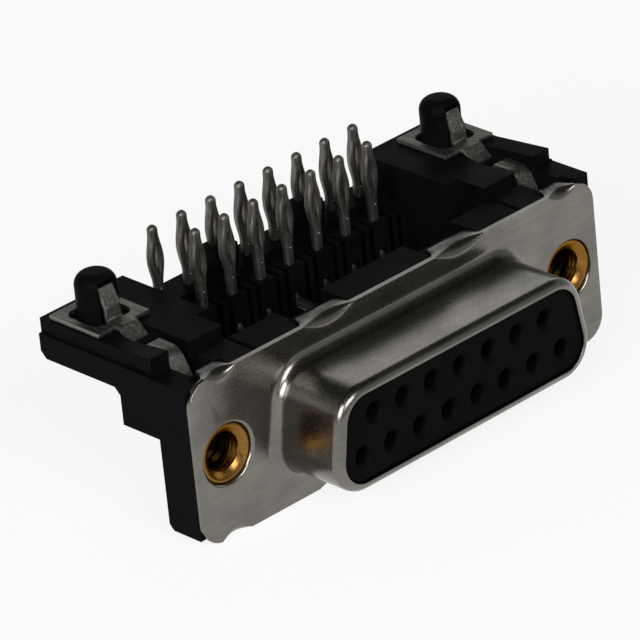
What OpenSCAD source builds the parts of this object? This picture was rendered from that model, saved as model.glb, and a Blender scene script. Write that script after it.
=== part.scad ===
// Right-angle D-sub socket connector for a printed board, 15 ways, with press-fit tails.
// The mating face looks along -Y, the board lies on the +Z side, and X runs along the flange.
// The origin is the centre of the flange's front face. All sizes are in millimetres.

/* [Contacts] */
// Distance between neighbouring contacts of one row
pitch = 2.77; // [2.6:0.01:3]
// Distance between the two rows
row_pitch = 2.84; // [2.7:0.01:3]
// Radius of the entry hole for a mating pin
entry_r = 0.62; // [0.55:0.01:0.7]
// Radius of the countersink round each entry hole
entry_sink_r = 0.92; // [0.8:0.02:1]
// Depth of that countersink
entry_sink_d = 0.32; // [0.2:0.02:0.5]
// Outer radius of the contact's barrel
barrel_r = 0.8; // [0.72:0.02:0.86]
// Inner radius of the barrel
barrel_bore_r = 0.52; // [0.5:0.01:0.56]
// Length of the barrel
barrel_l = 5.2; // [4.6:0.1:5.6]
// Width of the slot that lets the barrel spring
barrel_slot_w = 0.2; // [0.1:0.02:0.3]
// Length of that slot
barrel_slot_l = 2.8; // [1.5:0.1:3.5]
// Radius of the contact's shank
shank_r = 0.58; // [0.5:0.01:0.64]
// Thickness of the tail
tail_t = 0.6; // [0.4:0.02:0.64]
// Width of the tail
tail_w = 0.7; // [0.5:0.02:0.74]
// Inner radius of the tail's right-angle bend
tail_bend_r = 0.5; // [0.3:0.05:0.7]
// Where the tails of the longer row stand, behind the flange
rear_tail_y = 13.57; // [13.4:0.01:14.4]
// Distance between the two rows of tails
tail_pitch = 2.84; // [2.7:0.01:2.9]
// Height of the tails' tips above the board's seat
tail_h = 3.2; // [3.05:0.05:3.6]
// Width of the press-fit eye
eye_w = 1.16; // [0.9:0.02:1.3]
// Length of the press-fit eye
eye_l = 3.6; // [3:0.1:3.8]
// Height of the eye's middle above the board's seat
eye_up = 0.6; // [0.4:0.05:0.8]
// Width of the slot in the eye
eye_slot_w = 0.14; // [0.1:0.02:0.4]
// Length of the slot in the eye
eye_slot_l = 2.4; // [1.6:0.1:2.9]

/* [Shell] */
// From the last contact of the longer row to the D's side
d_side = 2.635; // [2.5:0.005:2.8]
// From the D's side to the middle of the screw hole
screw_gap = 4.32; // [4.2:0.02:4.8]
// From the middle of the screw hole to the flange's end
flange_end = 2.92; // [2.9:0.02:3.6]
// Height of the flange
flange_h = 12.5; // [12.3:0.05:13.5]
// Thickness of the shell's steel sheet
sheet = 0.4; // [0.3:0.05:0.45]
// Radius of the flange's corners
flange_corner_r = 1.8; // [0.8:0.1:2.2]
// Radius of each screw hole in the flange
screw_hole_r = 2.2; // [2.16:0.02:2.4]
// Radius of the rolled edge round each screw hole
roll_r = 0.26; // [0.1:0.02:0.28]
// Height of the drawn D
d_h = 7.9; // [7.7:0.05:8.3]
// Slope of the D's two sides
d_angle = 10; // [6:1:12]
// Radius of the D's corners
d_corner_r = 2.6; // [2:0.1:2.9]
// How far the D stands out of the flange
d_depth = 6.1; // [5.6:0.05:6.6]
// Radius where the D rises from the flange
d_foot_r = 0.85; // [0.5:0.05:0.9]
// Radius over which the D's front edge turns inwards
d_lip_r = 0.7; // [0.55:0.05:0.8]

/* [Flange tabs] */
// How far the middle of each outer tab lies outside the screw hole's middle
outer_tab_out = 0.05; // [-0.2:0.05:0.3]
// Width of the outer tabs
outer_tab_w = 2.4; // [1.8:0.1:2.5]
// Middle of each inner tab, as a share of the D's width
inner_tab_share = 0.2575; // [0.25:0.0025:0.265]
// Width of the inner tabs
inner_tab_w = 4.1; // [3.4:0.1:4.4]
// Outer radius of the fold
tab_bend_r = 1; // [0.7:0.05:1.1]
// Where the folded tabs end, behind the flange's front face
tab_end_y = 1.5; // [1.2:0.05:1.7]
// Width of the relief notch beside each tab
tab_relief = 0.2; // [0.1:0.05:0.3]

/* [Insulators] */
// How far the socket face lies behind the D's front edge
face_inset = 0.22; // [0.1:0.02:0.4]
// Length of the insulator's narrower nose
nose_l = 0.65; // [0.6:0.01:0.8]
// Step in width from the D to the insulator's foot behind the flange
foot_inset = 0.43; // [0.2:0.01:0.6]
// Thickness of that foot
foot_t = 1; // [0.8:0.05:1.2]
// How far the rear block reaches past the D's side
rear_out = 0.32; // [0.2:0.01:0.34]
// Where the rear block ends, behind the flange's front face
rear_end_y = 3.3; // [3:0.05:3.6]
// Depth of the step from the flange's edge to the top of the rear block
rear_drop = 1.05; // [1.02:0.01:1.1]
// Depth of the rear block's underside above the flange's lower edge
base_up = 0.15; // [0.05:0.05:0.3]
// How far the pads lie below the flange's edge
pad_drop = 0.05; // [0.02:0.01:0.2]
// Room between each inner tab and the middle pad
mid_pad_gap = 0.3; // [0.25:0.05:0.6]
// Room between each inner tab and the side pad
side_pad_gap = 0.22; // [0.2:0.02:0.6]

/* [Brackets] */
// How far the board's seat stands above the flange's edge
seat_up = 0.7; // [0.65:0.05:0.9]
// How far the front block reaches behind the rear block
block_past = 0.2; // [0.1:0.05:0.3]
// Depth of the front block's top below the flange's edge
block_drop = 0.5; // [0.45:0.05:0.7]
// Width of the bevel along the foot of the front block
block_bevel = 0.4; // [0.2:0.05:0.6]
// How far the bracket's own pad stands in from the bracket's inner face
bracket_pad_in = 0.3; // [0.2:0.05:0.5]
// Width of that pad
bracket_pad_w = 2.7; // [2:0.1:2.7]
// Length of the step under the arm
step_l = 3.6; // [3.2:0.1:4]
// Underside of that step
step_z = 1.25; // [1:0.05:2]
// Thickness of the arm
arm_t = 2.95; // [2.7:0.05:3.1]
// How far the arm reaches past the rear tails
arm_past = 1.43; // [1.3:0.01:1.8]
// How far the arms reach inwards behind the rear block
arm_in = 1.05; // [0.95:0.05:1.1]
// How far before the step's end the arms widen
arm_wide_back = 0.7; // [0.4:0.05:1]
// Width of the bevels at the ends of the arm's underside
arm_bevel = 0.5; // [0.3:0.05:0.7]
// Height of the rails over the groove along the arm's outer face
rail_h = 1.1; // [0.9:0.05:1.3]
// Depth of that groove's step
rail_inset = 0.25; // [0.15:0.05:0.4]
// Where the rails begin, behind the front block
rail_back = 0.35; // [0.2:0.05:0.5]
// Thickness of the wall under each arm, beside the tail organiser
side_wall_t = 1.4; // [1.2:0.1:1.8]
// Inner wall of the strap's channel, from the screw axis towards the middle
channel_in = 0.92; // [0.9:0.01:1.1]
// Outer wall of the strap's channel, from the screw axis outwards
channel_out = 1; // [0.96:0.01:1.1]
// Floor of the channel below the board's seat
channel_d = 1.1; // [1.05:0.05:1.2]
// Width of the bar that crosses the channel over the strap
bar_l = 1; // [0.8:0.05:1.1]
// Thickness of that bar
bar_t = 0.65; // [0.6:0.01:0.66]
// Length of the seat in front of the peg's middle
peg_seat_l = 2.6; // [2.58:0.02:2.7]
// Radius of the locating peg
peg_r = 1.5; // [1.3:0.05:1.55]
// How far the peg stands in front of the rear tails
peg_forward = 1.72; // [1.5:0.02:2]
// Height of the peg above the board's seat
peg_h = 3.4; // [3.3:0.05:3.7]
// Radius of the peg's rounded top edge
peg_round_r = 0.95; // [0.5:0.05:1.1]
// Width of the groove in the peg for the strap's finger
peg_groove_w = 1.5; // [1.42:0.02:1.56]
// Depth of that groove
peg_groove_d = 1; // [0.9:0.05:1.05]

/* [Ground straps] */
// Thickness of the strap
strap_t = 0.3; // [0.2:0.02:0.34]
// How far the plate lies outside the screw axis
plate_out = 0.1; // [0:0.02:0.16]
// How far the plate's middle lies in front of the peg's
plate_fwd = 0.15; // [0.05:0.05:0.2]
// Width of the plate round the peg
plate_w = 4.7; // [4.4:0.05:4.8]
// Length of the plate
plate_l = 5; // [4.9:0.02:5.1]
// Side of the plate's rounded hole
plate_hole = 3.5; // [3.45:0.05:3.6]
// Radius of the hole's corners
plate_hole_r = 0.85; // [0.6:0.05:0.9]
// Width of the neck between plate and strip
neck_w = 1.7; // [1.4:0.05:1.8]
// Length of the neck's slope
neck_l = 1.2; // [1.1:0.05:1.3]
// Width of the strip in the channel
strip_w = 1.4; // [1.2:0.05:1.7]
// Height by which the strip rises behind the bar
strip_rise = 0.5; // [0.4:0.05:0.55]
// Length of that rise
rise_l = 0.35; // [0.3:0.05:0.5]
// Length over which the strip then runs flat
strip_l = 1.6; // [1.5:0.05:1.7]
// Length over which the strip's front end slopes down
slope_l = 1.3; // [1.2:0.05:1.4]
// Height by which the strip's front end lies below its flat part
slope_drop = 2.25; // [2.1:0.05:2.3]
// Inner radius of the bend at the top of that slope
slope_r = 0.85; // [0.6:0.05:0.9]
// Width of the spring finger
finger_w = 1.3; // [1:0.05:1.34]
// Height of the finger's kink above the plate
finger_kink = 1.05; // [0.9:0.05:1.2]
// Height of the finger's tip above the plate
finger_h = 2.35; // [2.2:0.05:2.4]
// How far the finger leans back above its kink
finger_lean = 0.62; // [0.4:0.02:0.64]

/* [Inserts] */
// Outer radius of the threaded insert
insert_r = 2.12; // [1.9:0.02:2.14]
// Length of the insert
insert_l = 3; // [2.4:0.05:3]
// Radius of the bore inside the insert's thread
thread_r = 1.14; // [1.05:0.01:1.3]
// Radius of the countersunk mouth
mouth_r = 1.62; // [1.5:0.02:1.8]
// Depth of the countersunk mouth
mouth_d = 0.5; // [0.2:0.05:0.7]
// Radius of the room behind each insert for the screw's end
screw_room_r = 1.7; // [1.5:0.05:1.9]

/* [Tail organiser] */
// How far the organiser's front face stands in front of the front tails
comb_forward = 0.78; // [0.7:0.02:0.9]
// Depth of the organiser's front top below the board's seat
comb_drop = 2.55; // [2.45:0.05:2.7]
// Height of the step up to its rear part
comb_rise = 0.5; // [0.4:0.05:0.6]
// Thickness of the organiser's top
comb_t = 1.5; // [1.3:0.05:1.7]
// Where the higher part begins, in front of the rear tails
comb_step = 1.27; // [1.1:0.01:1.3]
// Height of the organiser's front wall
skirt_h = 4.6; // [4:0.1:4.8]
// Thickness of that wall
skirt_t = 2.05; // [2:0.05:2.2]
// Width of the two stand-off blocks
block_w = 2; // [1.6:0.05:2.2]
// Length of the two stand-off blocks
block_l = 1.8; // [1.7:0.05:1.9]
// Width of the notch between two front tails
notch_w = 1.35; // [1.1:0.05:1.45]
// Depth of that notch
notch_d = 1.5; // [1:0.05:1.7]
// Width of the thin rib in each notch
rib_w = 0.4; // [0.3:0.02:0.5]
// How far the organiser's end tongues reach into the arms
tongue_l = 0.6; // [0.4:0.05:0.8]
// Width of those tongues
tongue_w = 1.9; // [1.5:0.1:2]
// Thickness of those tongues
tongue_t = 0.5; // [0.4:0.05:0.6]

/* [Hidden] */
$fn = 48;

long_row = 8;          // contacts in the longer row; NODES has one name for each contact
short_row = long_row - 1;
fit_gap = 0.05;        // clearance between pieces that are pushed together
slip_gap = 0.03;       // clearance between flat faces that lie on each other
bend_steps = 6;        // flat faces in each bend of the sheet parts
corner_steps = 8;      // flat faces in each corner of the D
eye_steps = 16;        // straight stretches along each side of a press-fit eye
tip_steps = 5;         // straight stretches in each quarter of a tail's tip
tip_angle = 80;        // where each side of the tip's round ends
cut = 1;               // how far a cutting shape runs past what it cuts
foot_angle = 105;      // where the D's foot radius begins, just inside the flange's sheet
d_hole_share = 0.4;    // where the flange ends under the foot radius, as a share of it
ring_margin = 0.2;     // flat ring of the flange that belongs to each rolled hole
tail_stub = 0.4;       // straight length above each tail's bend
shank_depth = 1;       // solid length behind the barrel's bore
strap_edge = 0.3;      // flat length of the strap beside each of its bends
crease_r = 0.18;       // inner radius of the strap's sharp bends
foot_bend_r = 0.35;    // inner radius of the bend down in the block
bar_gap = 0.15;        // room between the bar and the strap's bends beside it
roof_slope = 0.5;      // slope of the roof of the groove in the peg

d_w = (long_row - 1) * pitch + 2 * d_side;
screw_x = d_w / 2 + screw_gap;
flange_l = 2 * (screw_x + flange_end);
edge_z = flange_h / 2;
outer_tab_x = screw_x + outer_tab_out;
inner_tab_x = inner_tab_share * d_w;
ring_r = screw_hole_r + roll_r + ring_margin;

back_y = sheet + slip_gap;
face_y = face_inset - d_depth;
nose_y = face_y + nose_l;
foot_end_y = back_y + foot_t;
rear_w = d_w + 2 * rear_out;
foot_w = d_w - 2 * foot_inset;
rear_top_z = edge_z - rear_drop;
foot_h = 2 * (rear_top_z - fit_gap);
base_z = base_up - edge_z;
pad_z = edge_z - pad_drop;
mid_pad_x = inner_tab_x - inner_tab_w / 2 - mid_pad_gap;
side_pad_x = inner_tab_x + inner_tab_w / 2 + side_pad_gap;

seat_z = edge_z + seat_up;
bracket_x = rear_w / 2 + fit_gap;
bracket_out_x = flange_l / 2;
rail_out_x = bracket_out_x - rail_inset;
block_end_y = rear_end_y + block_past;
block_top_z = edge_z - block_drop;
rail_y = block_end_y + rail_back;
rail_z = seat_z - rail_h;
channel_z = seat_z - channel_d;
step_end_y = block_end_y + step_l;
arm_z = seat_z - arm_t;
arm_x = rear_w / 2 - arm_in;
arm_end_y = rear_tail_y + arm_past;
arm_wide_y = step_end_y - arm_wide_back;
peg_y = rear_tail_y - peg_forward;
peg_z = seat_z + peg_h;
channel_end_y = peg_y - peg_seat_l;

plate_z = seat_z + slip_gap;
plate_x = screw_x + plate_out;
plate_y = peg_y - plate_fwd;
plate_mid_z = plate_z + strap_t / 2;
neck_x = screw_x + (channel_out - channel_in) / 2;
neck_top_y = plate_y - plate_l / 2 - strap_edge;
dip_y = neck_top_y - neck_l;
dip_z = channel_z + fit_gap + strap_t / 2;
bar_y = dip_y - bar_gap - bar_l / 2;
rise_y = bar_y - bar_l / 2 - bar_gap;
strip_x = screw_x + channel_out - fit_gap - strip_w / 2;
strip_z = dip_z + strip_rise;
strip_y = rise_y - rise_l;
slope_y = strip_y - strip_l;
foot_z = strip_z - slope_drop;
slot_z = foot_z - strap_t / 2 - fit_gap;
groove_z = plate_mid_z + finger_h + strap_t / 2 + fit_gap;

barrel_y = nose_y + 2 * fit_gap;
shank_y = barrel_y + barrel_l;
tail_y = rear_end_y + 2 * fit_gap;
front_tail_y = rear_tail_y - tail_pitch;
bend_r = tail_bend_r + tail_t / 2;
tip_z = plate_z + strap_t + tail_h;
eye_z = plate_z + strap_t + eye_up;

comb_x = arm_x - fit_gap;
comb_y = front_tail_y - comb_forward;
comb_front_z = seat_z - comb_drop;
comb_rear_z = comb_front_z + comb_rise;
comb_z = comb_front_z - comb_t;
skirt_z = comb_front_z - skirt_h;
comb_step_y = rear_tail_y - comb_step;
standoff_z = seat_z - fit_gap;
block_x = 3 * pitch / 2;
tongue_y = rear_tail_y - tongue_w / 2;

// Points of an arc in a plane
function arc(c, r, a0, a1, n) = [for (i = [0:n]) let(a = a0 + (a1 - a0) * i / n) c + r * [cos(a), sin(a)]];

function unit(v) = v / norm(v);
function left(v) = [-v[1], v[0]];

// One corner of a path, replaced by an arc of radius r
function bend(p0, p1, p2, r) =
    let(a = unit(p0 - p1), b = unit(p2 - p1),
        half = acos(a * b) / 2,
        c = p1 + unit(a + b) * r / sin(half),
        s = p1 + a * r / tan(half) - c,
        e = p1 + b * r / tan(half) - c,
        sweep = atan2(s[0] * e[1] - s[1] * e[0], s * e),
        a0 = atan2(s[1], s[0]))
    arc(c, r, a0, a0 + sweep, bend_steps);

// A path whose inner corners are all rounded
function bent(p, r) = concat(
    [p[0]],
    [for (i = [1:len(p) - 2]) each bend(p[i - 1], p[i], p[i + 1], r)],
    [p[len(p) - 1]]);

// The outline of a sheet of thickness t whose middle follows a path
function ribbon(p, t) =
    let(n = len(p),
        d = [for (i = [0:n - 2]) left(unit(p[i + 1] - p[i]))],
        m = [for (i = [0:n - 1]) i == 0 ? d[0] : i == n - 1 ? d[n - 2]
            : (d[i - 1] + d[i]) / ((d[i - 1] + d[i]) * d[i])])
    concat([for (i = [0:n - 1]) p[i] + m[i] * t / 2], [for (i = [n - 1:-1:0]) p[i] - m[i] * t / 2]);

// The D's outline, moved outwards by o, as points of X and Z
d_centre_z = d_h / 2 - d_corner_r;
d_low_x = d_w / 2 - d_corner_r;
d_high_x = d_low_x - 2 * d_centre_z * tan(d_angle);
d_corners = [
    [d_high_x, d_centre_z, d_angle, 90], [-d_high_x, d_centre_z, 90, 180 - d_angle],
    [-d_low_x, -d_centre_z, 180 - d_angle, 270], [d_low_x, -d_centre_z, 270, 360 + d_angle]
];
function d_ring(o) = [for (k = d_corners) each arc([k[0], k[1]], d_corner_r + o, k[2], k[3], corner_steps)];

// Places of the contacts: X, Z of the entry hole, and Y of the tail
function contact_place(k) = k < long_row
    ? [(k - (long_row - 1) / 2) * pitch, -row_pitch / 2, rear_tail_y]
    : [(k - long_row - (short_row - 1) / 2) * pitch, row_pitch / 2, front_tail_y];
contacts = [for (k = [0:long_row + short_row - 1]) contact_place(k)];

// A flat shape of X and Z, thick from y0 to y1
module facing(y0, y1) {
    translate([0, y1, 0]) rotate([90, 0, 0]) linear_extrude(y1 - y0) children();
}

// A flat shape of Y and Z, wide from x0 to x1
module along(x0, x1) {
    translate([x0, 0, 0]) rotate([90, 0, 90]) linear_extrude(x1 - x0) children();
}

// A box given by its two corners
module box(a, b) {
    translate(a) cube(b - a);
}

// A rod along Y
module rod(x, z, r, y0, y1) {
    translate([x, y0, z]) rotate([-90, 0, 0]) cylinder(r = r, h = y1 - y0);
}

// A cone along Y
module funnel(x, z, r0, r1, y0, y1) {
    translate([x, y0, z]) rotate([-90, 0, 0]) cylinder(r1 = r0, r2 = r1, h = y1 - y0);
}

// What stands on the right is repeated on the left
module both_sides() {
    children();
    mirror([1, 0, 0]) children();
}

module rounded_rect(w, h, r) {
    square([w - 2 * r, h], center = true);
    square([w, h - 2 * r], center = true);
    for (x = [-1, 1], z = [-1, 1]) translate([x * (w / 2 - r), z * (h / 2 - r)]) circle(r);
}

// The flange's front outline, with the notches from which the tabs are folded
module flange_outline() {
    difference() {
        rounded_rect(flange_l, flange_h, flange_corner_r);
        for (x = [-outer_tab_x, outer_tab_x]) tab_notch(x, outer_tab_w);
        for (x = [-inner_tab_x, inner_tab_x]) tab_notch(x, inner_tab_w);
        polygon(d_ring(d_hole_share * d_foot_r));
        for (x = [-screw_x, screw_x]) translate([x, 0]) circle(ring_r);
    }
}

module tab_notch(x, w) {
    for (s = [-1, 1]) translate([x, s * (flange_h / 2 - tab_bend_r + cut)])
        square([w + 2 * tab_relief, 2 * cut], center = true);
}

// One tab, folded back over the edge of the flange
module folded_tab(x, w) {
    top = flange_h / 2;
    c = [tab_bend_r, top - tab_bend_r];
    along(x - w / 2, x + w / 2) polygon(concat(
        arc(c, tab_bend_r, 180, 90, bend_steps),
        [[tab_end_y, top], [tab_end_y, top - sheet]],
        arc(c, tab_bend_r - sheet, 90, 180, bend_steps)));
}

// The drawn D: one sheet that rises from the flange, runs forward and turns inwards at its edge
module drawn_d() {
    foot = [d_foot_r, -d_foot_r];
    lip = [-d_lip_r, d_lip_r - d_depth];
    section = concat(
        [[d_foot_r + d_foot_r * cos(foot_angle), sheet / 4]],
        arc(foot, d_foot_r, foot_angle, 180, bend_steps),
        arc(lip, d_lip_r, 0, -90, bend_steps),
        arc(lip, d_lip_r - sheet, -90, 0, bend_steps),
        arc(foot, d_foot_r + sheet, 180, foot_angle, bend_steps));
    rings = [for (s = section) [for (q = d_ring(s[0])) [q[0], s[1], q[1]]]];
    n = len(rings[0]);
    m = len(section);
    polyhedron(
        points = [for (ring = rings) each ring],
        faces = [for (i = [0:m - 1], j = [0:n - 1])
            let(i1 = (i + 1) % m, j1 = (j + 1) % n)
            each [[i * n + j, i1 * n + j1, i * n + j1], [i * n + j, i1 * n + j, i1 * n + j1]]],
        convexity = 6);
}

// The ring of sheet round a screw hole, whose front edge is rolled
module rolled_ring(x) {
    translate([x, 0, 0]) rotate([-90, 0, 0]) rotate_extrude() polygon(concat(
        [[ring_r, 0], [ring_r, sheet], [screw_hole_r, sheet]],
        arc([screw_hole_r + roll_r, roll_r], roll_r, 180, 270, bend_steps)));
}

module front_shell() {
    color([0.72, 0.7, 0.66]) union() {
        facing(0, sheet) flange_outline();
        drawn_d();
        for (s = [0, 1]) mirror([0, 0, s]) {
            for (x = [-outer_tab_x, outer_tab_x]) folded_tab(x, outer_tab_w);
            for (x = [-inner_tab_x, inner_tab_x]) folded_tab(x, inner_tab_w);
        }
        for (x = [-screw_x, screw_x]) rolled_ring(x);
    }
}

// The D-shaped block in the shell, with one stepped hole for each contact
module front_insulator() {
    color([0.07, 0.07, 0.07]) difference() {
        union() {
            facing(face_y, nose_y) polygon(d_ring(-d_lip_r - 2 * fit_gap));
            facing(nose_y, back_y) polygon(d_ring(-sheet - fit_gap));
            box([-foot_w / 2, back_y, -foot_h / 2], [foot_w / 2, foot_end_y, foot_h / 2]);
        }
        for (c = contacts) {
            funnel(c[0], c[1], entry_sink_r, entry_r, face_y, face_y + entry_sink_d);
            rod(c[0], c[1], entry_r, face_y, nose_y + cut);
            rod(c[0], c[1], barrel_r + fit_gap, nose_y + fit_gap, foot_end_y + cut);
        }
    }
}

// Room for the folded tabs on a block that ends at the flange
module tab_room() {
    room = tab_relief + 2 * fit_gap;
    for (t = [[outer_tab_x, outer_tab_w], [inner_tab_x, inner_tab_w]], s = [-1, 1], z = [-1, 1])
        translate([s * t[0], 0, z * (rear_top_z + cut)])
            cube([t[1] + 2 * room, 2 * (tab_end_y + 2 * fit_gap), 2 * cut], center = true);
}

// The block behind the flange, with the three pads that rise between the tabs
module rear_insulator() {
    color([0.07, 0.07, 0.07]) difference() {
        union() {
            box([-rear_w / 2, back_y, base_z], [rear_w / 2, rear_end_y, rear_top_z]);
            box([-mid_pad_x, back_y, rear_top_z - cut], [mid_pad_x, rear_end_y, pad_z]);
            both_sides() box([side_pad_x, back_y, rear_top_z - cut], [rear_w / 2, rear_end_y, pad_z]);
        }
        box([-rear_w, 0, -foot_h / 2 - fit_gap / 2],
            [rear_w, foot_end_y + slip_gap, foot_h / 2 + fit_gap / 2]);
        tab_room();
        for (c = contacts) rod(c[0], c[1], shank_r + fit_gap, 0, rear_end_y + cut);
    }
}

// The bracket's side profile: front block, step and arm, as points of Y and Z
bracket_profile = [
    [back_y, base_z], [block_end_y - block_bevel, base_z], [block_end_y, base_z + block_bevel],
    [block_end_y, step_z], [step_end_y, step_z],
    [step_end_y, arm_z - arm_bevel], [step_end_y + arm_bevel, arm_z],
    [arm_end_y - arm_bevel, arm_z], [arm_end_y, arm_z + arm_bevel], [arm_end_y, rail_z],
    [rail_y, rail_z], [rail_y, block_top_z], [back_y, block_top_z]
];

// The locating peg, with the groove in front for the strap's finger
module peg() {
    top_r = peg_r - peg_round_r;
    translate([screw_x, peg_y, 0]) difference() {
        translate([0, 0, rail_z]) rotate_extrude() {
            square([peg_r, peg_z - rail_z - peg_round_r]);
            square([top_r, peg_z - rail_z]);
            translate([top_r, peg_z - rail_z - peg_round_r]) intersection() {
                circle(peg_round_r);
                square(peg_round_r);
            }
        }
        translate([plate_out, 0, 0]) along(-peg_groove_w / 2, peg_groove_w / 2) polygon([
            [-peg_r - cut, seat_z], [peg_groove_d - peg_r, seat_z], [peg_groove_d - peg_r, groove_z],
            [-peg_r - cut, groove_z + (peg_groove_d + cut) * roof_slope]
        ]);
    }
}

// The round-topped bar over the strap, as points of Y and Z
bar_profile = concat(
    [[bar_y + bar_l / 2, seat_z - bar_t]],
    arc([bar_y, seat_z - bar_l / 2], bar_l / 2, 0, 180, 2 * bend_steps),
    [[bar_y - bar_l / 2, seat_z - bar_t]]);

// The right-hand bracket
module bracket() {
    pad_x = bracket_x + bracket_pad_in;
    color([0.06, 0.06, 0.065]) difference() {
        union() {
            along(bracket_x, bracket_out_x) polygon(bracket_profile);
            box([arm_x, arm_wide_y, arm_z], [bracket_x + cut, arm_end_y, seat_z]);
            box([arm_x, arm_wide_y, skirt_z], [arm_x + side_wall_t, arm_end_y - arm_past / 2, arm_z + cut]);
            box([bracket_x, rail_y, rail_z - cut], [screw_x - channel_in, arm_end_y, seat_z]);
            box([screw_x + channel_out, rail_y, rail_z - cut], [rail_out_x, arm_end_y, seat_z]);
            box([bracket_x + cut, channel_end_y, rail_z - cut], [rail_out_x - cut, arm_end_y, seat_z]);
            along(screw_x - channel_in - fit_gap, screw_x + channel_out + fit_gap)
                polygon(bar_profile);
            box([pad_x, back_y, block_top_z - cut], [pad_x + bracket_pad_w, rear_end_y, pad_z]);
            peg();
        }
        rod(screw_x, 0, insert_r + fit_gap / 2, 0, block_end_y + cut);
        rod(screw_x, 0, screw_room_r, block_end_y, step_end_y + cut);
        tab_room();
        box([screw_x - channel_in, 0, slot_z], [screw_x + channel_out, slope_y, seat_z]);
        box([0, tongue_y - fit_gap, comb_front_z - tongue_t - fit_gap],
            [comb_x + tongue_l + fit_gap, tongue_y + tongue_w + fit_gap, comb_front_z + fit_gap]);
    }
}

// The right-hand ground strap: plate with hole, spring finger, neck, strip and contact foot
module ground_strap() {
    hole_y = plate_y - plate_hole / 2;
    finger_y = hole_y + crease_r + strap_t / 2;
    dip = [bar_y, dip_z];
    neck = [[neck_top_y + 2 * strap_edge, plate_mid_z], [neck_top_y, plate_mid_z], [dip_y, dip_z], dip];
    rise = [[bar_y + strap_edge, dip_z], [rise_y, dip_z], [strip_y, strip_z], [slope_y, strip_z]];
    fall = [rise[2], rise[3], [slope_y - slope_l, foot_z], [sheet + 2 * fit_gap, foot_z]];
    finger = [[hole_y - strap_edge, plate_mid_z], [finger_y, plate_mid_z],
        [finger_y, plate_mid_z + finger_kink], [finger_y + finger_lean, plate_mid_z + finger_h]];
    bend_over = crease_r + strap_t / 2;
    strip = concat(
        [rise[0]],
        bend(rise[0], rise[1], rise[2], bend_over),
        bend(rise[1], rise[2], rise[3], bend_over),
        bend(fall[0], fall[1], fall[2], slope_r + strap_t / 2),
        bend(fall[1], fall[2], fall[3], foot_bend_r + strap_t / 2),
        [fall[3]]);
    color([0.75, 0.73, 0.68]) union() {
        translate([plate_x, plate_y, plate_z]) linear_extrude(strap_t) difference() {
            square([plate_w, plate_l], center = true);
            rounded_rect(plate_hole, plate_hole, plate_hole_r);
        }
        along(neck_x - neck_w / 2, neck_x + neck_w / 2) polygon(ribbon(bent(neck, bend_over), strap_t));
        along(strip_x - strip_w / 2, strip_x + strip_w / 2) polygon(ribbon(strip, strap_t));
        along(plate_x - finger_w / 2, plate_x + finger_w / 2) polygon(ribbon(bent(finger, bend_over), strap_t));
    }
}

// The brass insert behind a screw hole, with its countersunk mouth
module threaded_insert() {
    insert_end = back_y + insert_l;
    color([0.78, 0.58, 0.26]) difference() {
        rod(screw_x, 0, insert_r, back_y, insert_end);
        rod(screw_x, 0, thread_r, 0, insert_end + cut);
        funnel(screw_x, 0, mouth_r, thread_r, back_y, back_y + mouth_d);
    }
}

// One side of the press-fit eye, as points of X and Z
function eye_side(w0, w1, l) = [for (i = [0:eye_steps])
    let(t = i / eye_steps) [w0 + (w1 - w0) * sin(180 * t), eye_z + (t - 0.5) * l]];
function mirrored(p) = [for (i = [len(p) - 1:-1:0]) [-p[i][0], p[i][1]]];

// The right half of a bar of width w whose end is round, from height z to the tails' tips
function round_end(w, z) = concat([[w / 2, z]], arc([0, tip_z - w / 2], w / 2, 0, tip_angle, tip_steps));

// The upright part of a tail seen from the front: stem, eye and rounded tip
module eye_front(from_z) {
    stem = round_end(tail_w, from_z);
    side = concat([stem[0]], eye_side(tail_w / 2, eye_w / 2, eye_l), [for (i = [1:len(stem) - 1]) stem[i]]);
    slot = eye_side(eye_slot_w / 8, eye_slot_w / 2, eye_slot_l);
    difference() {
        polygon(concat(side, mirrored(side)));
        polygon(concat(slot, mirrored(slot)));
    }
}

// The same part seen from the side
module eye_profile(from_z) {
    half = round_end(tail_t, from_z);
    polygon(concat(half, mirrored(half)));
}

// One contact: slotted barrel, shank, bent tail and press-fit eye
module contact(k) {
    c = contacts[k];
    stub_z = c[1] + bend_r + tail_stub;
    color([0.6, 0.58, 0.54]) translate([c[0], 0, 0]) difference() {
        union() {
            rod(0, c[1], barrel_r, barrel_y, shank_y);
            rod(0, c[1], shank_r, shank_y - cut / 2, tail_y);
            along(-tail_w / 2, tail_w / 2)
                polygon(ribbon(bent([[tail_y - cut, c[1]], [c[2], c[1]], [c[2], stub_z]], bend_r), tail_t));
            intersection() {
                facing(c[2] - tail_t, c[2] + tail_t) eye_front(stub_z);
                translate([0, c[2], 0]) along(-eye_w, eye_w) eye_profile(stub_z);
            }
        }
        rod(0, c[1], barrel_bore_r, barrel_y - cut, shank_y - shank_depth);
        box([-barrel_r - cut, barrel_y - cut, c[1] - barrel_slot_w / 2],
            [barrel_r + cut, barrel_y + barrel_slot_l, c[1] + barrel_slot_w / 2]);
    }
}

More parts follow.
